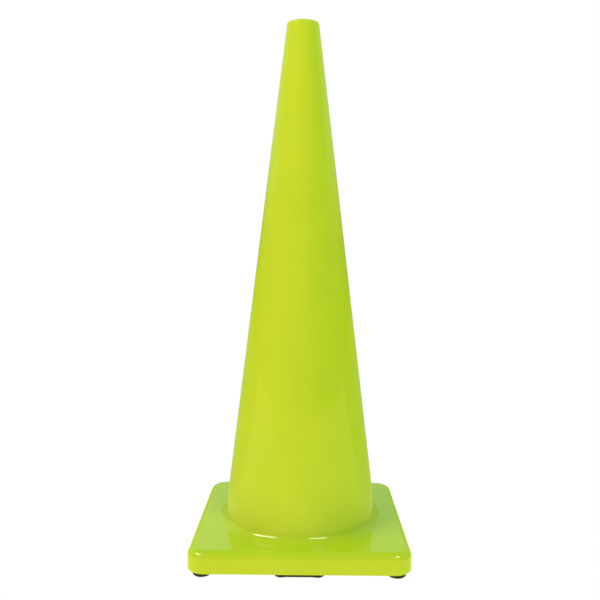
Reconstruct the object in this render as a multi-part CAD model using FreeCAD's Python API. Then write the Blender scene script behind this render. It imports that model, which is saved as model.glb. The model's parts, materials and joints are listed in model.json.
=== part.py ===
import FreeCAD, Part

import math
import os

from FreeCAD import Vector

# A tall traffic cone: a soft PVC cone moulded in one piece with its square base cover, a heavy
# ring of recycled PVC snapped up inside the cover, and rubber feet pushed into that ring.
# Millimetres. The origin is on the floor, on the cone's axis; +Z is up and the front faces -Y.

# Overall sizes
overall_height = 914.4      # floor to the rim of the tip, 36 in
base_side = 355.6           # width of the square base, 14 in
base_height = 42.5          # floor to the top face of the base cover
base_corner_radius = 30.0   # upright corners of the base
edge_rounding = 12.5        # rounded edge round the top of the base cover
skirt_edge_radius = 1.2     # bottom outer edge of the skirt

# Cone
base_ledge = 44.6           # from the foot of the cone, outside, to the side of the base
tip_radius = 28.5           # outside, at the rim
cone_wall = 3.0
junction_fillet = 15.0      # cone to base cover, outside
tip_wall = 6.0              # thickened rim round the opening in the tip
tip_bore_length = 12.0
rim_outer_fillet = 3.0
rim_inner_fillet = 1.5

# Ribs inside the cone that keep stacked cones from sticking together
rib_count = 4
rib_width = 4.0
rib_height = 1.2
rib_bottom = 80.0
rib_top = 300.0

# Base cover
cover_wall = 4.0
skirt_wall = 3.5
lip_reach = 2.5             # how far the snap lips reach under the ballast
lip_thickness = 3.0

# Ballast ring
ballast_gap = 0.4           # play between the ballast and the cover
ballast_recess = 1.0        # the ballast's underside above the skirt's bottom edge
core_size = 17.0            # square core-outs in the ballast's underside
core_rib = 5.0
core_corner_radius = 2.5
core_depth = 11.0
core_rim = 5.0              # solid edge left round the core-outs

# Feet
foot_height = 9.0           # floor to the bottom edge of the skirt
corner_foot_radius = 14.7
corner_foot_setback = 9.3   # least distance from a foot's edge to the side of the base
corner_foot_clearance = 0.8 # between a corner foot and the skirt's lip
side_foot_radius = 11.5     # round ends of a double foot
side_foot_spacing = 57.0    # centre to centre of the round ends
side_foot_setback = 10.0
side_foot_waist = 1.7       # the bar is narrower than the round ends by this much on each side
foot_edge_radius = 2.5
dimple_radius = 6.0         # hollow in the sole
dimple_depth = 1.2
stem_radius = 4.5
stem_length = 4.0
barb_radius = 6.0
barb_length = 6.5
barb_nose_radius = 3.6
stem_gap = 0.2              # play round a stem and its barb in the socket

# Derived places
half_side = base_side / 2
cone_foot_radius = half_side - base_ledge
taper = (cone_foot_radius - tip_radius) / (overall_height - base_height)
wall_across = cone_wall * math.hypot(1, taper)      # the cone's wall, measured level
lip_top = foot_height + lip_thickness
cover_underside = base_height - cover_wall
ballast_bottom = foot_height + ballast_recess
tip_bore_radius = tip_radius - tip_wall
tip_bore_bottom = overall_height - tip_bore_length
lip_arc_radius = base_corner_radius - skirt_wall - lip_reach
corner_foot_inset = max(
    corner_foot_setback + corner_foot_radius,
    base_corner_radius - (lip_arc_radius - corner_foot_clearance - corner_foot_radius) / math.sqrt(2))
corner_foot_place = half_side - corner_foot_inset
side_foot_place = half_side - side_foot_setback - side_foot_radius
cut_past = 2.0              # how far cutting tools run past a face


def cone_radius(z):
    """Outer radius of the cone at a height; below the base cover it is the collar's."""
    return tip_radius + taper * (overall_height - z)


def taper_between(bottom, top, offset):
    """A tapered plug that follows the cone, offset outwards from its outer face."""
    return Part.makeCone(cone_radius(bottom) + offset, cone_radius(top) + offset,
                         top - bottom, Vector(0, 0, bottom))


def edges_at(shape, z):
    """The edges of a shape that lie level at a height."""
    return [edge for edge in shape.Edges
            if all(abs(point.z - z) < 1e-6 for point in edge.discretize(5))]


def rounded_square(inset, bottom, top, top_rounding=0.0):
    """A square block with upright corners rounded, set in from the sides of the base."""
    side = base_side - 2 * inset
    block = Part.makeBox(side, side, top - bottom, Vector(-side / 2, -side / 2, bottom))
    upright = [edge for edge in block.Edges
               if abs(edge.Vertexes[0].Z - edge.Vertexes[1].Z) > 1e-6]
    block = block.makeFillet(base_corner_radius - inset, upright)
    if top_rounding > 0:
        block = block.makeFillet(top_rounding, edges_at(block, top))
    return block


def stacking_rib(angle):
    """One upright rib on the inside of the cone's wall."""
    outline = [
        Vector(cone_radius(rib_bottom) - wall_across + cone_wall / 2, 0, rib_bottom),
        Vector(cone_radius(rib_top) - wall_across + cone_wall / 2, 0, rib_top),
        Vector(cone_radius(rib_top) - wall_across - rib_height / 4, 0, rib_top),
        Vector(cone_radius(rib_top) - wall_across - rib_height, 0, rib_top - 4 * rib_height),
        Vector(cone_radius(rib_bottom) - wall_across - rib_height, 0, rib_bottom + 4 * rib_height),
        Vector(cone_radius(rib_bottom) - wall_across - rib_height / 4, 0, rib_bottom),
    ]
    rib = Part.Face(Part.makePolygon(outline + outline[:1])).extrude(Vector(0, rib_width, 0))
    rib.translate(Vector(0, -rib_width / 2, 0))
    rib.rotate(Vector(0, 0, 0), Vector(0, 0, 1), angle)
    return rib


def cone_shell():
    """Cone, base cover, skirt and inner collar in one moulding, open underneath and at the tip."""
    body = rounded_square(0, foot_height, base_height, edge_rounding)
    body = body.makeFillet(skirt_edge_radius, edges_at(body, foot_height))
    body = body.fuse(taper_between(foot_height + skirt_edge_radius, overall_height, 0))
    body = body.removeSplitter()
    junction = [edge for edge in edges_at(body, base_height)
                if abs(edge.BoundBox.XLength - 2 * cone_foot_radius) < 1e-3]
    body = body.makeFillet(junction_fillet, junction)

    # The channel that holds the ballast, and its mouth between the two snap lips
    channel = rounded_square(skirt_wall, lip_top, cover_underside, edge_rounding - skirt_wall)
    channel = channel.cut(taper_between(lip_top - cut_past, cover_underside + cut_past, 0))
    mouth = rounded_square(skirt_wall + lip_reach, foot_height - cut_past, lip_top)
    mouth = mouth.cut(taper_between(foot_height - 2 * cut_past, lip_top + cut_past, lip_reach))

    # The hollow inside: the tapered wall, a sloping shoulder and the straight bore of the tip
    step = cone_radius(tip_bore_bottom) - wall_across - tip_bore_radius
    shoulder_bottom = tip_bore_bottom - step
    hollow = taper_between(foot_height - cut_past, shoulder_bottom, -wall_across)
    shoulder = Part.makeCone(cone_radius(shoulder_bottom) - wall_across, tip_bore_radius,
                             step, Vector(0, 0, shoulder_bottom))
    bore = Part.makeCylinder(tip_bore_radius, tip_bore_length + cut_past,
                             Vector(0, 0, tip_bore_bottom))
    body = body.cut([channel, mouth, hollow, shoulder, bore])

    rim = edges_at(body, overall_height)
    outer_rim = [edge for edge in rim if edge.BoundBox.XLength > 2 * tip_bore_radius + 1e-3]
    body = body.makeFillet(rim_outer_fillet, outer_rim)
    inner_rim = [edge for edge in edges_at(body, overall_height)
                 if abs(edge.BoundBox.XLength - 2 * tip_bore_radius) < 1e-3]
    body = body.makeFillet(rim_inner_fillet, inner_rim)

    ribs = [stacking_rib(45 + index * 360 / rib_count) for index in range(rib_count)]
    return body.fuse(ribs).removeSplitter()


def foot_socket(x, y):
    """Blind socket for one foot stem: a narrow neck and a wider chamber that holds the barb."""
    neck = Part.makeCylinder(stem_radius + stem_gap, stem_length + cut_past,
                             Vector(x, y, ballast_bottom - cut_past))
    chamber = Part.makeCylinder(barb_radius + stem_gap, barb_length + 2 * stem_gap,
                                Vector(x, y, ballast_bottom + stem_length - stem_gap))
    return neck.fuse(chamber)


def side_foot_centres():
    """The two round ends of each double foot, in order front, right, back, left."""
    reach = side_foot_spacing / 2
    return [
        [(-reach, -side_foot_place), (reach, -side_foot_place)],
        [(side_foot_place, -reach), (side_foot_place, reach)],
        [(-reach, side_foot_place), (reach, side_foot_place)],
        [(-side_foot_place, -reach), (-side_foot_place, reach)],
    ]


def corner_foot_centres():
    """The corner feet, in order front left, front right, back right, back left."""
    place = corner_foot_place
    return [(-place, -place), (place, -place), (place, place), (-place, place)]


def core_is_clear(x, y):
    """True where a square core-out leaves solid ballast to every edge and round every foot."""
    reach = core_size / 2
    farthest = max(abs(x), abs(y)) + reach
    opening = half_side - skirt_wall - lip_reach - ballast_gap - core_rim
    nearest = math.hypot(max(abs(x) - reach, 0), max(abs(y) - reach, 0))
    if farthest > opening:
        return False
    if nearest < cone_radius(ballast_bottom) + lip_reach + ballast_gap + core_rim:
        return False
    for foot_x, foot_y in corner_foot_centres():
        gap = math.hypot(max(abs(x - foot_x) - reach, 0), max(abs(y - foot_y) - reach, 0))
        if gap < corner_foot_radius + core_rim / 2:
            return False
    for (start_x, start_y), (end_x, end_y) in side_foot_centres():
        outside_x = max(min(start_x, end_x) - x, x - max(start_x, end_x), 0)
        outside_y = max(min(start_y, end_y) - y, y - max(start_y, end_y), 0)
        gap = math.hypot(max(outside_x - reach, 0), max(outside_y - reach, 0))
        if gap < side_foot_radius + core_rim / 2:
            return False
    return True


def core_outs():
    """Square pockets in the underside, on one grid, wherever the ballast has room for them."""
    pitch = core_size + core_rib
    rows = int(half_side // pitch)
    places = [(column + 0.5) * pitch for column in range(-rows - 1, rows + 1)]
    pockets = []
    for x in places:
        for y in places:
            if core_is_clear(x, y):
                corner = Vector(x - core_size / 2, y - core_size / 2, ballast_bottom - cut_past)
                pocket = Part.makeBox(core_size, core_size, core_depth + cut_past, corner)
                upright = [edge for edge in pocket.Edges
                           if abs(edge.Vertexes[0].Z - edge.Vertexes[1].Z) > 1e-6]
                pockets.append(pocket.makeFillet(core_corner_radius, upright))
    return pockets


def base_ballast():
    """Heavy ring that rests on the two snap lips and fills the base cover."""
    ring = rounded_square(skirt_wall + ballast_gap, lip_top, cover_underside - ballast_gap,
                          edge_rounding - skirt_wall - ballast_gap)
    step = rounded_square(skirt_wall + lip_reach + ballast_gap, ballast_bottom, lip_top)
    ring = ring.cut(taper_between(lip_top - cut_past, cover_underside + cut_past, ballast_gap))
    step = step.cut(taper_between(ballast_bottom - cut_past, lip_top + cut_past,
                                  lip_reach + ballast_gap))
    ring = ring.fuse(step).removeSplitter()
    centres = corner_foot_centres() + [centre for pair in side_foot_centres() for centre in pair]
    sockets = [foot_socket(x, y) for x, y in centres]
    return ring.cut(sockets + core_outs())


def round_pad(radius):
    """The disc of a foot, standing on the floor, with a rounded sole."""
    pad = Part.makeCylinder(radius, ballast_bottom)
    return pad.makeFillet(foot_edge_radius, edges_at(pad, 0))


def barbed_stem():
    """Stem and barb that stand on a foot's upper face."""
    stem = Part.makeCylinder(stem_radius, stem_length, Vector(0, 0, ballast_bottom))
    barb = Part.makeCone(barb_radius, barb_nose_radius, barb_length,
                         Vector(0, 0, ballast_bottom + stem_length))
    return stem.fuse(barb)


def sole_dimple():
    """Tool for the shallow hollow in the sole."""
    return Part.makeCone(dimple_radius, dimple_radius - dimple_depth, dimple_depth)


def corner_foot(x, y):
    """Single round foot."""
    foot = round_pad(corner_foot_radius).fuse(barbed_stem()).cut(sole_dimple())
    foot.translate(Vector(x, y, 0))
    return foot


def side_foot(centres):
    """Double foot: two round ends joined by a bar a little narrower than they are."""
    (start_x, start_y), (end_x, end_y) = centres
    bar_half = side_foot_radius - side_foot_waist
    bar = Part.makeBox(side_foot_spacing, 2 * bar_half, ballast_bottom, Vector(0, -bar_half, 0))
    long_edges = [edge for edge in edges_at(bar, 0) if edge.BoundBox.XLength > edge.BoundBox.YLength]
    foot = bar.makeFillet(foot_edge_radius, long_edges)
    for place in (0, side_foot_spacing):
        for piece in (round_pad(side_foot_radius), barbed_stem()):
            piece.translate(Vector(place, 0, 0))
            foot = foot.fuse(piece)
    for place in (0, side_foot_spacing):
        dimple = sole_dimple()
        dimple.translate(Vector(place, 0, 0))
        foot = foot.cut(dimple)
    foot = foot.removeSplitter()
    foot.rotate(Vector(0, 0, 0), Vector(0, 0, 1),
                math.degrees(math.atan2(end_y - start_y, end_x - start_x)))
    foot.translate(Vector(start_x, start_y, 0))
    return foot


parts = {"cone_shell": cone_shell(), "base_ballast": base_ballast()}
corner_names = ["front_left", "front_right", "back_right", "back_left"]
for name, (x, y) in zip(corner_names, corner_foot_centres()):
    parts["corner_foot_" + name] = corner_foot(x, y)
side_names = ["front", "right", "back", "left"]
for name, centres in zip(side_names, side_foot_centres()):
    parts["side_foot_" + name] = side_foot(centres)

os.makedirs("parts", exist_ok=True)
for name, shape in parts.items():
    shape = shape.Solids[0] if len(shape.Solids) == 1 else shape
    shape.exportStep("parts/" + name + ".step")
    print(name, shape.ShapeType, "valid", shape.isValid(), "solids", len(shape.Solids),
          "litres", round(shape.Volume / 1e6, 4))
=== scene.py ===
import json
import math

import bpy
import bmesh
from mathutils import Matrix, Vector
from mathutils.geometry import tessellate_polygon


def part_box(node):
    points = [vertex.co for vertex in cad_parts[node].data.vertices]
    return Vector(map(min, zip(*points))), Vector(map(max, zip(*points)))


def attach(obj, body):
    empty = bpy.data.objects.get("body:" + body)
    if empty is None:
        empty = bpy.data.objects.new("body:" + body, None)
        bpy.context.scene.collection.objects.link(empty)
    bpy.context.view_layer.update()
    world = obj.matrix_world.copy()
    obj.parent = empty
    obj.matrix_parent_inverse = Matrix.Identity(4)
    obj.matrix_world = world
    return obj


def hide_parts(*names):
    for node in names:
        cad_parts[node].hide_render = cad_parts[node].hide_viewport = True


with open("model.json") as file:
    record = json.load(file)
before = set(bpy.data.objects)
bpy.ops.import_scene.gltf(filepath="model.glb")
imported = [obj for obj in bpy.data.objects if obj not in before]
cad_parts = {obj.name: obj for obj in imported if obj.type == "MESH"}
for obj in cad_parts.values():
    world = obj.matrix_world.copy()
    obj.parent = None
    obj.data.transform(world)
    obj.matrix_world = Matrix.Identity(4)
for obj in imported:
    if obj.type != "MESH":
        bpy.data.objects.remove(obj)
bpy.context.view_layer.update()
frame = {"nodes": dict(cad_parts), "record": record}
mm = 0.001
mergeDistance = 0.002 * mm
print("frame loaded:", len(frame["nodes"]), "nodes")


# Helpers

def linearColour(hexCode, alpha=1.0):
    parts = [int(hexCode[i:i + 2], 16) / 255 for i in (0, 2, 4)]
    parts = [c / 12.92 if c <= 0.04045 else ((c + 0.055) / 1.055) ** 2.4 for c in parts]
    return (*parts, alpha)


def addNode(tree, kind, settings=None, links=None):
    # settings: attributes by name, or input values by socket name or number
    # links: input socket name or number -> output socket
    node = tree.nodes.new(kind)
    for name, value in (settings or {}).items():
        if isinstance(name, str) and hasattr(node, name):
            setattr(node, name, value)
        else:
            node.inputs[name].default_value = value
    for name, source in (links or {}).items():
        tree.links.new(source, node.inputs[name])
    return node


def newMaterial(name):
    material = bpy.data.materials.new(name)
    material.use_nodes = True
    material.node_tree.nodes.clear()
    return material, material.node_tree


def closeMaterial(tree, shader):
    addNode(tree, "ShaderNodeOutputMaterial", None, {"Surface": shader.outputs["BSDF"]})


def whiteToLens(tree, lit, plainKind, outputKind):
    # the lens sees plain white, and the object is lit by the other shader
    plain = addNode(tree, plainKind, {"Color": (1, 1, 1, 1), "Strength": 1.0})
    path = addNode(tree, "ShaderNodeLightPath")
    mix = addNode(tree, "ShaderNodeMixShader", None,
                  {0: path.outputs["Is Camera Ray"], 1: lit.outputs[0], 2: plain.outputs[0]})
    addNode(tree, outputKind, None, {"Surface": mix.outputs[0]})


def meshPiece(name, vertices, faces):
    mesh = bpy.data.meshes.new(name)
    mesh.from_pydata(vertices, [], faces)
    mesh.validate()
    piece = bpy.data.objects.new(name, mesh)
    bpy.context.scene.collection.objects.link(piece)
    return piece


def pointFacesOut(piece):
    shape = bmesh.new()
    shape.from_mesh(piece.data)
    bmesh.ops.remove_doubles(shape, verts=shape.verts, dist=mergeDistance)
    bmesh.ops.recalc_face_normals(shape, faces=shape.faces)
    shape.to_mesh(piece.data)
    shape.free()


def smoothShade(piece, sharpAngle):
    piece.data.shade_smooth()
    piece.data.set_sharp_from_angle(angle=math.radians(sharpAngle))


def applyModifiers(piece):
    graph = bpy.context.evaluated_depsgraph_get()
    mesh = bpy.data.meshes.new_from_object(piece.evaluated_get(graph), depsgraph=graph)
    piece.modifiers.clear()
    piece.data = mesh
    mesh.name = piece.name


def runTree(piece, tree, values):
    modifier = piece.modifiers.new(tree.name, "NODES")
    modifier.node_group = tree
    for item in tree.interface.items_tree:
        if item.item_type == "SOCKET" and item.in_out == "INPUT" and item.name in values:
            modifier[item.identifier] = values[item.name]
    applyModifiers(piece)


def newTree(name, inputs):
    tree = bpy.data.node_groups.new(name, "GeometryNodeTree")
    tree.interface.new_socket("Geometry", in_out="INPUT", socket_type="NodeSocketGeometry")
    for label, kind in inputs.items():
        tree.interface.new_socket(label, in_out="INPUT", socket_type=kind)
    tree.interface.new_socket("Geometry", in_out="OUTPUT", socket_type="NodeSocketGeometry")
    return tree, tree.nodes.new("NodeGroupInput")


def arc(centreRadius, centreHeight, radius, startAngle, endAngle, steps):
    points = []
    for step in range(steps + 1):
        angle = math.radians(startAngle + (endAngle - startAngle) * step / steps)
        points.append((centreRadius + radius * math.cos(angle),
                       centreHeight + radius * math.sin(angle)))
    return points


def lathe(profile, centre, steps):
    # rings of (radius, height) round an upright line; the last radius may be 0
    vertices, faces = [], []
    for radius, height in profile:
        for step in range(steps):
            angle = 2 * math.pi * step / steps
            vertices.append((centre[0] + radius * math.cos(angle),
                             centre[1] + radius * math.sin(angle), height))
    for ring in range(len(profile) - 1):
        for step in range(steps):
            after = (step + 1) % steps
            faces.append((ring * steps + step, ring * steps + after,
                          (ring + 1) * steps + after, (ring + 1) * steps + step))
    return vertices, faces


def loft(rings):
    # faces between closed loops of equal length
    vertices = [point for ring in rings for point in ring]
    count = len(rings[0])
    faces = []
    for ring in range(len(rings) - 1):
        for step in range(count):
            after = (step + 1) % count
            faces.append((ring * count + step, ring * count + after,
                          (ring + 1) * count + after, (ring + 1) * count + step))
    return vertices, faces


def flatCap(outline, holes):
    # level face with round holes
    loops = [[Vector(point) for point in loop] for loop in [outline, *holes]]
    vertices = [tuple(point) for loop in loops for point in loop]
    return vertices, [tuple(face) for face in tessellate_polygon(loops)]


def joined(parts):
    vertices, faces = [], []
    for partVertices, partFaces in parts:
        start = len(vertices)
        vertices.extend(partVertices)
        faces.extend(tuple(start + corner for corner in face) for face in partFaces)
    return vertices, faces


# Materials

limeLook = {
    "colour": "C4D32B",         # day-glow yellow-green pigment
    "shade": "BFD029",          # where the pigment lies a little thicker
    "blotchSize": 90 * mm,      # flow marks from the mould
    "peelSize": 4.5 * mm,       # orange peel
    "grainSize": 0.9 * mm,      # real pits are near 0.2 mm, drawn coarser so that they show
    "roughLow": 0.08,
    "roughHigh": 0.13,
}


def limePvc():
    # Glossy injection-moulded soft PVC: a saturated, even body colour under a clear plasticised
    # skin, which shows broad soft reflections, faint orange peel and slow flow marks
    look = limeLook
    material, tree = newMaterial("mouldedLimePvc")
    place = addNode(tree, "ShaderNodeTexCoord").outputs["Object"]
    blotch = addNode(tree, "ShaderNodeTexNoise",
                     {"Scale": 1 / look["blotchSize"], "Detail": 3.0, "Roughness": 0.55},
                     {"Vector": place})
    peel = addNode(tree, "ShaderNodeTexNoise",
                   {"Scale": 1 / look["peelSize"], "Detail": 1.5, "Roughness": 0.4}, {"Vector": place})
    grain = addNode(tree, "ShaderNodeTexNoise",
                    {"Scale": 1 / look["grainSize"], "Detail": 2.0}, {"Vector": place})
    ramp = addNode(tree, "ShaderNodeMapRange",
                   {"From Min": 0.35, "From Max": 0.65, "To Min": 0.0, "To Max": 1.0},
                   {"Value": blotch.outputs["Fac"]})
    colour = addNode(tree, "ShaderNodeMix",
                     {"data_type": "RGBA", 6: linearColour(look["colour"]),
                      7: linearColour(look["shade"])},
                     {0: ramp.outputs["Result"]})
    rough = addNode(tree, "ShaderNodeMapRange",
                    {"From Min": 0.3, "From Max": 0.7,
                     "To Min": look["roughLow"], "To Max": look["roughHigh"]},
                    {"Value": grain.outputs["Fac"]})
    peelBump = addNode(tree, "ShaderNodeBump", {"Strength": 0.25, "Distance": 0.05 * mm},
                       {"Height": peel.outputs["Fac"]})
    grainBump = addNode(tree, "ShaderNodeBump", {"Strength": 0.15, "Distance": 0.01 * mm},
                        {"Height": grain.outputs["Fac"], "Normal": peelBump.outputs["Normal"]})
    shader = addNode(tree, "ShaderNodeBsdfPrincipled",
                     {"IOR": 1.53, "Metallic": 0.0},
                     {"Base Color": colour.outputs[2], "Roughness": rough.outputs["Result"],
                      "Normal": grainBump.outputs["Normal"]})
    closeMaterial(tree, shader)
    return material


recycledLook = {
    "colour": "1C1C1D",
    "fleck": "3A3B3C",          # paler regrind flecks
    "fleckSize": 2.2 * mm,
    "grainSize": 1.1 * mm,
}


def recycledPvc():
    # Compression-moulded recycled PVC: dull grey-black with paler regrind flecks and a grainy skin
    look = recycledLook
    material, tree = newMaterial("mouldedRecycledPvc")
    place = addNode(tree, "ShaderNodeTexCoord").outputs["Object"]
    fleck = addNode(tree, "ShaderNodeTexVoronoi", {"Scale": 1 / look["fleckSize"]}, {"Vector": place})
    grain = addNode(tree, "ShaderNodeTexNoise",
                    {"Scale": 1 / look["grainSize"], "Detail": 4.0}, {"Vector": place})
    sprinkle = addNode(tree, "ShaderNodeMapRange",
                       {"From Min": 0.05, "From Max": 0.22, "To Min": 0.8, "To Max": 0.0},
                       {"Value": fleck.outputs["Distance"]})
    colour = addNode(tree, "ShaderNodeMix",
                     {"data_type": "RGBA", 6: linearColour(look["colour"]),
                      7: linearColour(look["fleck"])},
                     {0: sprinkle.outputs["Result"]})
    rough = addNode(tree, "ShaderNodeMapRange", {"To Min": 0.5, "To Max": 0.75},
                    {"Value": grain.outputs["Fac"]})
    bump = addNode(tree, "ShaderNodeBump", {"Strength": 0.5, "Distance": 0.15 * mm},
                   {"Height": grain.outputs["Fac"]})
    shader = addNode(tree, "ShaderNodeBsdfPrincipled", {"IOR": 1.5},
                     {"Base Color": colour.outputs[2], "Roughness": rough.outputs["Result"],
                      "Normal": bump.outputs["Normal"]})
    closeMaterial(tree, shader)
    return material


rubberLook = {
    "colour": "0E0E0F",
    "scuff": "242423",
    "scuffSize": 7 * mm,
    "grainSize": 0.8 * mm,
}


def blackRubber():
    # Compression-moulded black rubber: deep black, a low sheen, slightly greyed where it is handled
    look = rubberLook
    material, tree = newMaterial("mouldedBlackRubber")
    place = addNode(tree, "ShaderNodeTexCoord").outputs["Object"]
    scuff = addNode(tree, "ShaderNodeTexNoise",
                    {"Scale": 1 / look["scuffSize"], "Detail": 5.0, "Roughness": 0.6},
                    {"Vector": place})
    grain = addNode(tree, "ShaderNodeTexNoise",
                    {"Scale": 1 / look["grainSize"], "Detail": 2.0}, {"Vector": place})
    patch = addNode(tree, "ShaderNodeMapRange",
                    {"From Min": 0.5, "From Max": 0.75, "To Min": 0.0, "To Max": 0.7},
                    {"Value": scuff.outputs["Fac"]})
    colour = addNode(tree, "ShaderNodeMix",
                     {"data_type": "RGBA", 6: linearColour(look["colour"]),
                      7: linearColour(look["scuff"])},
                     {0: patch.outputs["Result"]})
    rough = addNode(tree, "ShaderNodeMapRange", {"To Min": 0.32, "To Max": 0.5},
                    {"Value": scuff.outputs["Fac"]})
    bump = addNode(tree, "ShaderNodeBump", {"Strength": 0.3, "Distance": 0.05 * mm},
                   {"Height": grain.outputs["Fac"]})
    shader = addNode(tree, "ShaderNodeBsdfPrincipled", {"IOR": 1.52, "Specular IOR Level": 0.35},
                     {"Base Color": colour.outputs[2], "Roughness": rough.outputs["Result"],
                      "Normal": bump.outputs["Normal"]})
    closeMaterial(tree, shader)
    return material


limeSurface = limePvc()
recycledSurface = recycledPvc()
rubberSurface = blackRubber()
print("materials made")


# Cone shell: one section, swept round the axis, from the circles of the cone to the
# rounded squares of the base cover

shellLow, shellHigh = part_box("cone_shell")
tipMount = next(m for m in frame["record"]["mounts"] if m["name"] == "tip_bore")
shell = {
    "height": shellHigh.z,
    "halfSide": shellHigh.x,
    "skirtBottom": shellLow.z,
    "coverTop": 42.5 * mm,
    "ledge": 44.6 * mm,             # foot of the cone to the side of the base
    "tipRadius": 28.5 * mm,
    "boreRadius": tipMount["dims"]["r_mm"] * mm,
    "boreBottom": tipMount["pos_m"][2] - tipMount["dims"]["length_mm"] * mm / 2,
    "coneWall": 3.0 * mm,
    "coverWall": 4.0 * mm,
    "skirtWall": 3.5 * mm,
    "lipReach": 2.5 * mm,
    "lipThickness": 3.0 * mm,
    "cornerRadius": 30.0 * mm,
    "edgeRounding": 12.5 * mm,
    "skirtEdge": 1.2 * mm,
    "junctionFillet": 15.0 * mm,
    "rimOuter": 3.0 * mm,
    "rimInner": 1.5 * mm,
    "columns": 360,
    "waveHeight": 0.16 * mm,        # slow unevenness that soft PVC shows once it has cooled
    "waveLength": 95 * mm,
}


def coneRadius(z):
    taper = ((shell["halfSide"] - shell["ledge"] - shell["tipRadius"])
             / (shell["height"] - shell["coverTop"]))
    return shell["tipRadius"] + taper * (shell["height"] - z)


def line(start, end, steps):
    # points after start, up to and with end
    return [tuple(a + (b - a) * step / steps for a, b in zip(start, end))
            for step in range(1, steps + 1)]


def shellSection():
    # rows of (radius or half width, height, squareness, softness), once round the closed section
    s = shell
    slope = math.atan2(coneRadius(0) - coneRadius(1), 1)
    wallAcross = s["coneWall"] / math.cos(slope)
    degrees = math.degrees(slope)
    top, cover, bottom = s["height"], s["coverTop"], s["skirtBottom"]
    lipTop = bottom + s["lipThickness"]
    underside = cover - s["coverWall"]
    rows = []

    def add(points, squareness, softness):
        for radius, height in points:
            row = (radius, height, squareness, softness)
            if not rows or (Vector(row[:3]) - Vector(rows[-1][:3])).length > 1e-7:
                rows.append(row)

    # rim, outer fillet first
    rim = s["rimOuter"]
    rimCentre = coneRadius(top - rim + rim * math.sin(slope)) - rim * math.cos(slope)
    add(arc(rimCentre, top - rim, rim, 90, degrees, 8), 0, 0)
    # cone, down to the fillet at its foot
    fillet = s["junctionFillet"]
    filletCentre = coneRadius(cover + fillet - fillet * math.sin(slope)) + fillet * math.cos(slope)
    foot = arc(filletCentre, cover + fillet, fillet, 180 + degrees, 270, 12)
    wallTop = rows[-1][:2]
    add(line(wallTop, foot[0], 96), 0, 1)
    add(foot, 0, 1)
    # top of the base cover, where the circle opens out to the rounded square
    edge = s["edgeRounding"]
    flatEnd = s["halfSide"] - edge
    flatStart = rows[-1][0]
    for step in range(1, 9):
        share = step / 8
        add([(flatStart + (flatEnd - flatStart) * share, cover)], share, 1)
    add(arc(flatEnd, cover - edge, edge, 90, 0, 14), 1, 1)
    # skirt and its bottom edge
    lower = s["skirtEdge"]
    add(line((s["halfSide"], cover - edge), (s["halfSide"], bottom + lower), 5), 1, 1)
    add(arc(s["halfSide"] - lower, bottom + lower, lower, 0, -90, 4), 1, 0)
    # snap lip, channel and collar
    lipEdge = s["halfSide"] - s["skirtWall"] - s["lipReach"]
    inner = s["halfSide"] - s["skirtWall"]
    inside = edge - s["skirtWall"]
    add([(lipEdge, bottom), (lipEdge, lipTop), (inner, lipTop)], 1, 0)
    add(arc(flatEnd, underside - inside, inside, 0, 90, 6), 1, 0)
    collarTop = coneRadius(underside)
    for step in range(1, 5):
        share = 1 - step / 4
        add([(collarTop + (flatEnd - collarTop) * share, underside)], share, 0)
    add([(coneRadius(lipTop), lipTop), (coneRadius(lipTop) + s["lipReach"], lipTop),
         (coneRadius(bottom) + s["lipReach"], bottom), (coneRadius(bottom) - wallAcross, bottom)], 0, 0)
    # inside wall, shoulder, bore and inner rim
    overhang = coneRadius(s["boreBottom"]) - wallAcross - s["boreRadius"]
    shoulder = s["boreBottom"] - overhang
    add(line(rows[-1][:2], (coneRadius(shoulder) - wallAcross, shoulder), 40), 0, 0.5)
    add([(s["boreRadius"], s["boreBottom"])], 0, 0)
    add(arc(s["boreRadius"] + s["rimInner"], top - s["rimInner"], s["rimInner"], 180, 90, 5), 0, 0)
    return rows


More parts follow.
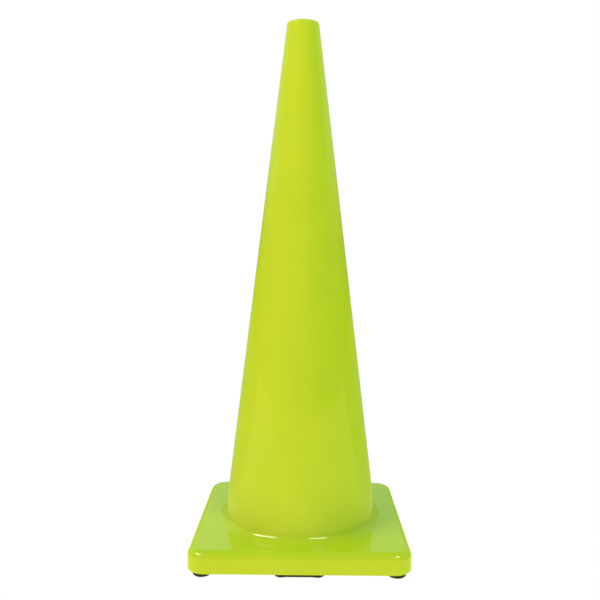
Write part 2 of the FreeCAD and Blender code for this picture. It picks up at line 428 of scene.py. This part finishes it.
def shellTree():
    # grid of rows by columns; each vertex looks up its row and is put on its ring
    tree, given = newTree("sweepShell", {
        "Rows": "NodeSocketInt", "Columns": "NodeSocketInt", "Half Side": "NodeSocketFloat",
        "Corner Radius": "NodeSocketFloat", "Wave Height": "NodeSocketFloat",
        "Wave Length": "NodeSocketFloat", "Seed": "NodeSocketFloat", "Material": "NodeSocketMaterial"})

    def maths(operation, a, b=None, c=None):
        node = addNode(tree, "ShaderNodeMath", {"operation": operation})
        for index, value in enumerate(v for v in (a, b, c) if v is not None):
            if isinstance(value, (int, float)):
                node.inputs[index].default_value = value
            else:
                tree.links.new(value, node.inputs[index])
        return node.outputs[0]

    columns = given.outputs["Columns"]
    grid = addNode(tree, "GeometryNodeMeshGrid", {"Size X": 1.0, "Size Y": 1.0},
                   {"Vertices X": maths("ADD", given.outputs["Rows"], 1),
                    "Vertices Y": maths("ADD", columns, 1)})
    index = addNode(tree, "GeometryNodeInputIndex").outputs[0]
    perRow = maths("ADD", columns, 1)
    row = maths("FLOOR", maths("DIVIDE", maths("ADD", index, 0.5), perRow))
    column = maths("SUBTRACT", index, maths("MULTIPLY", row, perRow))
    wrapped = maths("MODULO", row, given.outputs["Rows"])

    def fromSection(attribute):
        named = addNode(tree, "GeometryNodeInputNamedAttribute",
                        {"data_type": "FLOAT", "Name": attribute})
        sample = addNode(tree, "GeometryNodeSampleIndex", {"data_type": "FLOAT", "domain": "POINT"},
                         {"Geometry": given.outputs["Geometry"], "Value": named.outputs[0],
                          "Index": wrapped})
        return sample.outputs[0]

    radius, height = fromSection("ringRadius"), fromSection("ringHeight")
    squareness, softness = fromSection("squareness"), fromSection("softness")

    # a ray at each column's angle meets the rounded square on a side or on a corner's arc
    angle = maths("MULTIPLY", maths("DIVIDE", column, columns), 2 * math.pi)
    cosine, sine = maths("COSINE", angle), maths("SINE", angle)
    wide = maths("MAXIMUM", maths("ABSOLUTE", cosine), maths("ABSOLUTE", sine))
    narrow = maths("MINIMUM", maths("ABSOLUTE", cosine), maths("ABSOLUTE", sine))
    skeleton = maths("SUBTRACT", given.outputs["Half Side"], given.outputs["Corner Radius"])
    bend = maths("SUBTRACT", radius, skeleton)
    toSide = maths("DIVIDE", radius, wide)
    across = maths("MULTIPLY", skeleton, maths("SUBTRACT", wide, narrow))
    root = maths("SQRT", maths("MAXIMUM", maths("SUBTRACT", maths("MULTIPLY", bend, bend),
                                                maths("MULTIPLY", across, across)), 0.0))
    toCorner = maths("ADD", maths("MULTIPLY", skeleton, maths("ADD", wide, narrow)), root)
    onCorner = maths("GREATER_THAN", maths("MULTIPLY", toSide, narrow), skeleton)
    reach = maths("ADD", toSide, maths("MULTIPLY", onCorner, maths("SUBTRACT", toCorner, toSide)))
    blended = maths("ADD", radius, maths("MULTIPLY", squareness, maths("SUBTRACT", reach, radius)))

    place = addNode(tree, "ShaderNodeCombineXYZ", None,
                    {"X": maths("MULTIPLY", blended, cosine), "Y": maths("MULTIPLY", blended, sine),
                     "Z": height})
    swept = addNode(tree, "GeometryNodeSetPosition", None,
                    {"Geometry": grid.outputs["Mesh"], "Position": place.outputs[0]})
    keepSoft = addNode(tree, "GeometryNodeStoreNamedAttribute",
                       {"data_type": "FLOAT", "domain": "POINT", "Name": "softness"},
                       {"Geometry": swept.outputs[0], "Value": softness})
    closed = addNode(tree, "GeometryNodeMergeByDistance", {"Distance": mergeDistance},
                     {"Geometry": keepSoft.outputs[0]})

    # slow unevenness along the surface's own normal, none at the fits
    position = addNode(tree, "GeometryNodeInputPosition").outputs[0]
    normal = addNode(tree, "GeometryNodeInputNormal").outputs[0]
    soft = addNode(tree, "GeometryNodeInputNamedAttribute", {"data_type": "FLOAT", "Name": "softness"})
    noise = addNode(tree, "ShaderNodeTexNoise",
                    {"noise_dimensions": "4D", "Detail": 1.0, "Roughness": 0.4},
                    {"Vector": position, "W": given.outputs["Seed"],
                     "Scale": maths("DIVIDE", 1.0, given.outputs["Wave Length"])})
    swell = maths("MULTIPLY", maths("SUBTRACT", noise.outputs["Fac"], 0.5),
                  maths("MULTIPLY", soft.outputs[0],
                        maths("MULTIPLY", given.outputs["Wave Height"], 2.0)))
    push = addNode(tree, "ShaderNodeVectorMath", {"operation": "SCALE"}, {0: normal, "Scale": swell})
    waved = addNode(tree, "GeometryNodeSetPosition", None,
                    {"Geometry": closed.outputs[0], "Offset": push.outputs[0]})
    real = addNode(tree, "GeometryNodeRealizeInstances", None, {"Geometry": waved.outputs[0]})
    painted = addNode(tree, "GeometryNodeSetMaterial", None,
                      {"Geometry": real.outputs[0], "Material": given.outputs["Material"]})
    addNode(tree, "NodeGroupOutput", None, {"Geometry": painted.outputs[0]})
    return tree


def makeShell():
    rows = shellSection()
    section = meshPiece("coneShell", [(radius, 0, height) for radius, height, _, _ in rows], [])
    for label, column in (("ringRadius", 0), ("ringHeight", 1), ("squareness", 2), ("softness", 3)):
        values = section.data.attributes.new(label, "FLOAT", "POINT")
        values.data.foreach_set("value", [row[column] for row in rows])
    runTree(section, shellTree(), {
        "Rows": len(rows), "Columns": shell["columns"], "Half Side": shell["halfSide"],
        "Corner Radius": shell["cornerRadius"], "Wave Height": shell["waveHeight"],
        "Wave Length": shell["waveLength"], "Seed": 3.0, "Material": limeSurface})
    section.data.attributes.remove(section.data.attributes["softness"])
    pointFacesOut(section)
    smoothShade(section, 32)
    print("cone shell:", len(rows), "rings,", len(section.data.polygons), "faces")
    return section


coneShell = makeShell()
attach(coneShell, "root")
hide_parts("cone_shell")

# Stacking ribs: one rib on the inside of the wall, set round the axis

ribs = {
    "count": 4,
    "firstAngle": 45.0,
    "width": 4.0 * mm,
    "height": 1.2 * mm,
    "bottom": 80 * mm,
    "top": 300 * mm,
    "run": 4.8 * mm,            # length over which each end rises from the wall
    "endShare": 0.25,           # share of the height that stands at the very end
    "edge": 0.7 * mm,
    "root": 1.5 * mm,           # how deep the rib is set in the wall
}


def ribRings():
    r = ribs
    slope = math.atan2(coneRadius(0) - coneRadius(1), 1)
    wallAcross = shell["coneWall"] / math.cos(slope)
    rings = []
    ends = [(r["bottom"], r["endShare"]), (r["bottom"] + r["run"], 1.0),
            (r["top"] - r["run"], 1.0), (r["top"], r["endShare"])]
    for height, share in ends:
        proud = r["height"] * share
        edge = min(r["edge"], proud)
        half = r["width"] / 2
        outline = [(-half, -r["root"])]
        outline += [(-x, y) for x, y in arc(half - edge, proud - edge, edge, 0, 90, 5)]
        outline += arc(half - edge, proud - edge, edge, 90, 0, 5)
        outline += [(half, -r["root"])]
        inside = coneRadius(height) - wallAcross
        rings.append([(inside - y, x, height) for x, y in outline])
    return rings


def ribTree():
    tree, given = newTree("ringOfRibs", {
        "Count": "NodeSocketInt", "First Angle": "NodeSocketFloat", "Material": "NodeSocketMaterial"})
    points = addNode(tree, "GeometryNodePoints", None, {"Count": given.outputs["Count"]})
    index = addNode(tree, "GeometryNodeInputIndex").outputs[0]
    step = addNode(tree, "ShaderNodeMath", {"operation": "DIVIDE", 0: 2 * math.pi},
                   {1: given.outputs["Count"]})
    angle = addNode(tree, "ShaderNodeMath", {"operation": "MULTIPLY_ADD"},
                    {0: index, 1: step.outputs[0], 2: given.outputs["First Angle"]})
    turn = addNode(tree, "ShaderNodeCombineXYZ", None, {"Z": angle.outputs[0]})
    ring = addNode(tree, "GeometryNodeInstanceOnPoints", None,
                   {"Points": points.outputs[0], "Instance": given.outputs["Geometry"],
                    "Rotation": turn.outputs[0]})
    real = addNode(tree, "GeometryNodeRealizeInstances", None, {"Geometry": ring.outputs[0]})
    painted = addNode(tree, "GeometryNodeSetMaterial", None,
                      {"Geometry": real.outputs[0], "Material": given.outputs["Material"]})
    addNode(tree, "NodeGroupOutput", None, {"Geometry": painted.outputs[0]})
    return tree


def makeRibs():
    rings = ribRings()
    vertices, faces = loft(rings)
    count = len(rings[0])
    faces += [tuple(range(count)), tuple(range(len(vertices) - count, len(vertices)))]
    piece = meshPiece("stackingRibs", vertices, faces)
    pointFacesOut(piece)
    runTree(piece, ribTree(), {"Count": ribs["count"], "First Angle": math.radians(ribs["firstAngle"]),
                               "Material": limeSurface})
    smoothShade(piece, 40)
    print("stacking ribs:", len(piece.data.polygons), "faces")
    return piece


stackingRibs = makeRibs()
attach(stackingRibs, "root")


# Ballast ring: the designed shape with its moulded edges softened

ballast = {
    "edgeSoftness": 0.6 * mm,
}


def makeBallast():
    source = frame["nodes"]["base_ballast"]
    piece = bpy.data.objects.new("ballastRing", source.data.copy())
    bpy.context.scene.collection.objects.link(piece)
    piece.data.transform(source.matrix_world)
    shape = bmesh.new()
    shape.from_mesh(piece.data)
    bmesh.ops.remove_doubles(shape, verts=shape.verts, dist=mergeDistance)
    bmesh.ops.dissolve_limit(shape, angle_limit=math.radians(0.5), verts=shape.verts, edges=shape.edges)
    shape.to_mesh(piece.data)
    shape.free()
    bevel = piece.modifiers.new("moulded edges", "BEVEL")
    bevel.width = ballast["edgeSoftness"]
    bevel.segments = 2
    bevel.limit_method = "ANGLE"
    bevel.angle_limit = math.radians(40)
    applyModifiers(piece)
    piece.data.materials.clear()
    piece.data.materials.append(recycledSurface)
    smoothShade(piece, 32)
    print("ballast ring:", len(piece.data.polygons), "faces")
    return piece


ballastRing = makeBallast()
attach(ballastRing, "root")
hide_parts("base_ballast")


# Rubber feet: pads with rounded soles, and stems whose barbs sit in the ballast

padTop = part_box("base_ballast")[0].z
feet = {
    "waist": 1.7 * mm,          # a double foot's bar is narrower on each side by this much
    "soleEdge": 2.5 * mm,
    "topEdge": 0.4 * mm,
    "dimpleRadius": 6.0 * mm,
    "dimpleDepth": 1.2 * mm,
    "dimpleEdge": 0.5 * mm,
    "stemRadius": 4.5 * mm,
    "stemLength": 4.0 * mm,
    "stemFillet": 0.15 * mm,
    "barbRadius": 6.0 * mm,
    "barbLength": 6.5 * mm,
    "barbNose": 3.6 * mm,
    "barbEdge": 0.4 * mm,
    "columns": 64,
}


def footOutline(centres, radius, barHalf, height):
    # a circle, or two circles and the bar between them
    start, end = centres[0], centres[-1]
    length = math.hypot(end[0] - start[0], end[1] - start[1])
    along = math.atan2(end[1] - start[1], end[0] - start[0])
    half = feet["columns"] // 2
    points = []
    if length == 0:
        for step in range(2 * half):
            angle = math.pi * step / half
            points.append((start[0] + radius * math.cos(angle),
                           start[1] + radius * math.sin(angle), height))
        return points
    meet = math.degrees(math.asin(barHalf / radius))
    flat = (arc(length, 0, radius, meet - 180, 180 - meet, half)
            + arc(0, 0, radius, meet, 360 - meet, half))
    for x, y in flat:
        points.append((start[0] + x * math.cos(along) - y * math.sin(along),
                       start[1] + x * math.sin(along) + y * math.cos(along), height))
    return points


def footMesh(centres, radius):
    f = feet
    barHalf = radius - f["waist"]

    def outline(inset, height):
        return footOutline(centres, radius - inset, barHalf - inset, height)

    sole, top = f["soleEdge"], f["topEdge"]
    margin = 0.3 * mm
    rings = [outline(sole + margin, 0)]
    rings += [outline(sole - x, z) for x, z in arc(0, sole, sole, -90, 0, 8)]
    rings += [outline(top - x, z) for x, z in arc(0, padTop - top, top, 0, 90, 4)]
    rings += [outline(top + margin, padTop)]
    dimple = [(f["dimpleRadius"] + f["dimpleEdge"] + margin, 0)]
    dimple += [(f["dimpleRadius"] + f["dimpleEdge"] - x, z)
               for x, z in arc(0, f["dimpleEdge"], f["dimpleEdge"], -90, -45, 3)]
    # the dimple's roof starts with a small chamfer
    roof = f["dimpleRadius"] - f["dimpleDepth"]
    dimple += [(roof + f["dimpleEdge"] * 0.6, f["dimpleDepth"] * 0.94),
               (roof - f["dimpleEdge"] * 0.4, f["dimpleDepth"]), (0, f["dimpleDepth"])]
    fillet, barbBottom, edge = f["stemFillet"], padTop + f["stemLength"], f["barbEdge"]
    stem = [(f["stemRadius"] + fillet + margin, padTop), (f["stemRadius"] + fillet, padTop),
            (f["stemRadius"], padTop + fillet), (f["stemRadius"], barbBottom)]
    stem += arc(f["barbRadius"] - edge, barbBottom + edge, edge, -90, 20, 5)
    stem += arc(f["barbNose"] - edge, barbBottom + f["barbLength"] - edge, edge, 20, 90, 4)
    stem += [(0, barbBottom + f["barbLength"])]
    parts = [loft(rings)]
    for height, profile, ring in ((0, dimple, rings[0]), (padTop, stem, rings[-1])):
        turned = [lathe(profile, centre, f["columns"]) for centre in centres]
        parts += turned
        parts.append(flatCap(ring, [vertices[:f["columns"]] for vertices, _ in turned]))
    return joined(parts)


def makeFoot(nodeName):
    low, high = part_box(nodeName)
    centre = (low + high) / 2
    wide, deep = high.x - low.x, high.y - low.y
    radius = min(wide, deep) / 2
    reach = (wide - deep) / 2
    if abs(reach) < 1 * mm:
        centres = [(centre.x, centre.y)]
    elif reach > 0:
        centres = [(centre.x - reach, centre.y), (centre.x + reach, centre.y)]
    else:
        centres = [(centre.x, centre.y + reach), (centre.x, centre.y - reach)]
    words = nodeName.split("_")
    pieceName = words[0] + "".join(word.capitalize() for word in words[1:])
    piece = meshPiece(pieceName, *footMesh(centres, radius))
    pointFacesOut(piece)
    piece.data.materials.append(rubberSurface)
    smoothShade(piece, 38)
    return piece


for nodeName in frame["nodes"]:
    if nodeName.startswith(("corner_foot", "side_foot")):
        foot = makeFoot(nodeName)
        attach(foot, "root")
        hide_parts(nodeName)
print("feet made")


# Stage: light table, surround, two soft lamps, camera. The table and the surround are tinted
# zone by zone to light the cone, and the lens sees both plain white.

stage = {
    "floorSize": 60.0,
    "floorColour": "6C6C6B",
    # light table: its light fills in the shadows; the lens itself sees it plain white
    "floorFront": (1.10, 1.11, 0.34, 1.0),
    "floorBack": (0.42, 0.52, 0.10, 1.0),
}


def makeFloor():
    half = stage["floorSize"] / 2
    drop = -0.2 * mm        # keeps the floor clear of the soles
    corners = [(-half, -half, drop), (half, -half, drop), (half, half, drop), (-half, half, drop)]
    floor = meshPiece("paleFloor", corners, [(0, 1, 2, 3)])
    # Matt paper on a light table: a dull sheet that also glows, tinted to light the cone
    material, tree = newMaterial("mattPaper")
    place = addNode(tree, "ShaderNodeTexCoord").outputs["Object"]
    fibre = addNode(tree, "ShaderNodeTexNoise", {"Scale": 60.0, "Detail": 3.0}, {"Vector": place})
    rough = addNode(tree, "ShaderNodeMapRange", {"To Min": 0.75, "To Max": 0.9},
                    {"Value": fibre.outputs["Fac"]})
    depth = addNode(tree, "ShaderNodeSeparateXYZ", None, {"Vector": place})
    behind = addNode(tree, "ShaderNodeMapRange",
                     {"interpolation_type": "SMOOTHSTEP", "From Min": -0.05, "From Max": 0.35},
                     {"Value": depth.outputs["Y"]})
    glow = addNode(tree, "ShaderNodeMix",
                   {"data_type": "RGBA", 6: stage["floorFront"], 7: stage["floorBack"]},
                   {0: behind.outputs["Result"]})
    lit = addNode(tree, "ShaderNodeBsdfPrincipled",
                  {"Base Color": linearColour(stage["floorColour"]), "Specular IOR Level": 0.2,
                   "Emission Strength": 1.0},
                  {"Roughness": rough.outputs["Result"], "Emission Color": glow.outputs[2]})
    whiteToLens(tree, lit, "ShaderNodeEmission", "ShaderNodeOutputMaterial")
    floor.data.materials.append(material)


surround = {
    # what the cone reflects; the lens itself sees plain white
    "overhead": (0.16, 0.56, 0.20, 1.0),
    "frontLeft": (0.48, 0.32, 0.28, 1.0),
    "frontRight": (0.04, 0.38, 0.22, 1.0),
    "backHigh": (0.72, 0.90, 0.50, 1.0),
    "backLow": (0.38, 0.48, 0.10, 1.0),
}


def makeSurround():
    world = bpy.data.worlds.new("whiteSurround")
    world.use_nodes = True
    tree = world.node_tree
    tree.nodes.clear()
    place = addNode(tree, "ShaderNodeTexCoord").outputs["Generated"]
    way = addNode(tree, "ShaderNodeSeparateXYZ", None, {"Vector": place})

    def share(axis, low, high):
        ramp = addNode(tree, "ShaderNodeMapRange",
                       {"interpolation_type": "SMOOTHSTEP", "From Min": low, "From Max": high},
                       {"Value": way.outputs[axis]})
        return ramp.outputs["Result"]

    def blend(first, second, amount):
        mix = addNode(tree, "ShaderNodeMix", {"data_type": "RGBA"}, {0: amount})
        for index, colour in ((6, first), (7, second)):
            if isinstance(colour, tuple):
                mix.inputs[index].default_value = colour
            else:
                tree.links.new(colour, mix.inputs[index])
        return mix.outputs[2]

    front = blend(surround["frontLeft"], surround["frontRight"], share("X", 0.34, 0.50))
    back = blend(surround["backLow"], surround["backHigh"], share("Z", 0.05, 0.3))
    around = blend(front, back, share("Y", -0.1, 0.3))
    light = blend(around, surround["overhead"], share("Z", 0.55, 0.8))
    lit = addNode(tree, "ShaderNodeBackground", {"Strength": 1.0}, {"Color": light})
    whiteToLens(tree, lit, "ShaderNodeBackground", "ShaderNodeOutputWorld")
    bpy.context.scene.world = world


lamps = {
    # azimuth from the front towards +X, elevation, distance, width, height, watts, colour
    "keyLeft": (-66, 46, 4.4, 2.5, 0.8, 84, "FFF4E6"),
    "keyRight": (33, 46, 4.4, 1.7, 0.7, 52, "FFF6EA"),
}


def makeLamps():
    aim = Vector((0, 0, shell["height"] * 0.45))
    for name, (azimuth, elevation, distance, width, height, watts, colour) in lamps.items():
        light = bpy.data.lights.new(name, "AREA")
        light.shape = "RECTANGLE"
        light.size, light.size_y = width, height
        light.energy = watts
        light.color = linearColour(colour)[:3]
        lamp = bpy.data.objects.new(name, light)
        bpy.context.scene.collection.objects.link(lamp)
        turn, lift = math.radians(azimuth), math.radians(elevation)
        away = Vector((math.sin(turn) * math.cos(lift), -math.cos(turn) * math.cos(lift),
                       math.sin(lift)))
        lamp.location = aim + away * distance
        lamp.rotation_euler = away.to_track_quat("Z", "Y").to_euler()


view = {
    "distance": 1.2964,     # lens to the cone's axis
    "height": 0.5147,
    "focalLength": 43.64,   # on a 36 mm sensor
    "lookDown": 0.013,      # radians
    "roll": 0.006,
    "turn": 0.0066,
    "shiftX": -0.003,
    "shiftY": -0.07,
}


def makeCamera():
    lens = bpy.data.cameras.new("camera")
    lens.sensor_width = 36
    lens.lens = view["focalLength"]
    lens.shift_x, lens.shift_y = view["shiftX"], view["shiftY"]
    lens.clip_start, lens.clip_end = 0.01, 60
    camera = bpy.data.objects.new("camera", lens)
    bpy.context.scene.collection.objects.link(camera)
    away = Matrix.Translation((0, -view["distance"], view["height"]))
    place = Matrix.Rotation(view["turn"], 4, "Z") @ away
    look = (Matrix.Rotation(math.pi / 2 - view["lookDown"], 4, "X")
            @ Matrix.Rotation(view["roll"], 4, "Z"))
    camera.matrix_world = place @ look
    bpy.context.scene.camera = camera


makeFloor()
makeSurround()
makeLamps()
makeCamera()
bpy.context.scene.view_settings.view_transform = "Standard"
print("stage, lamps and camera made")
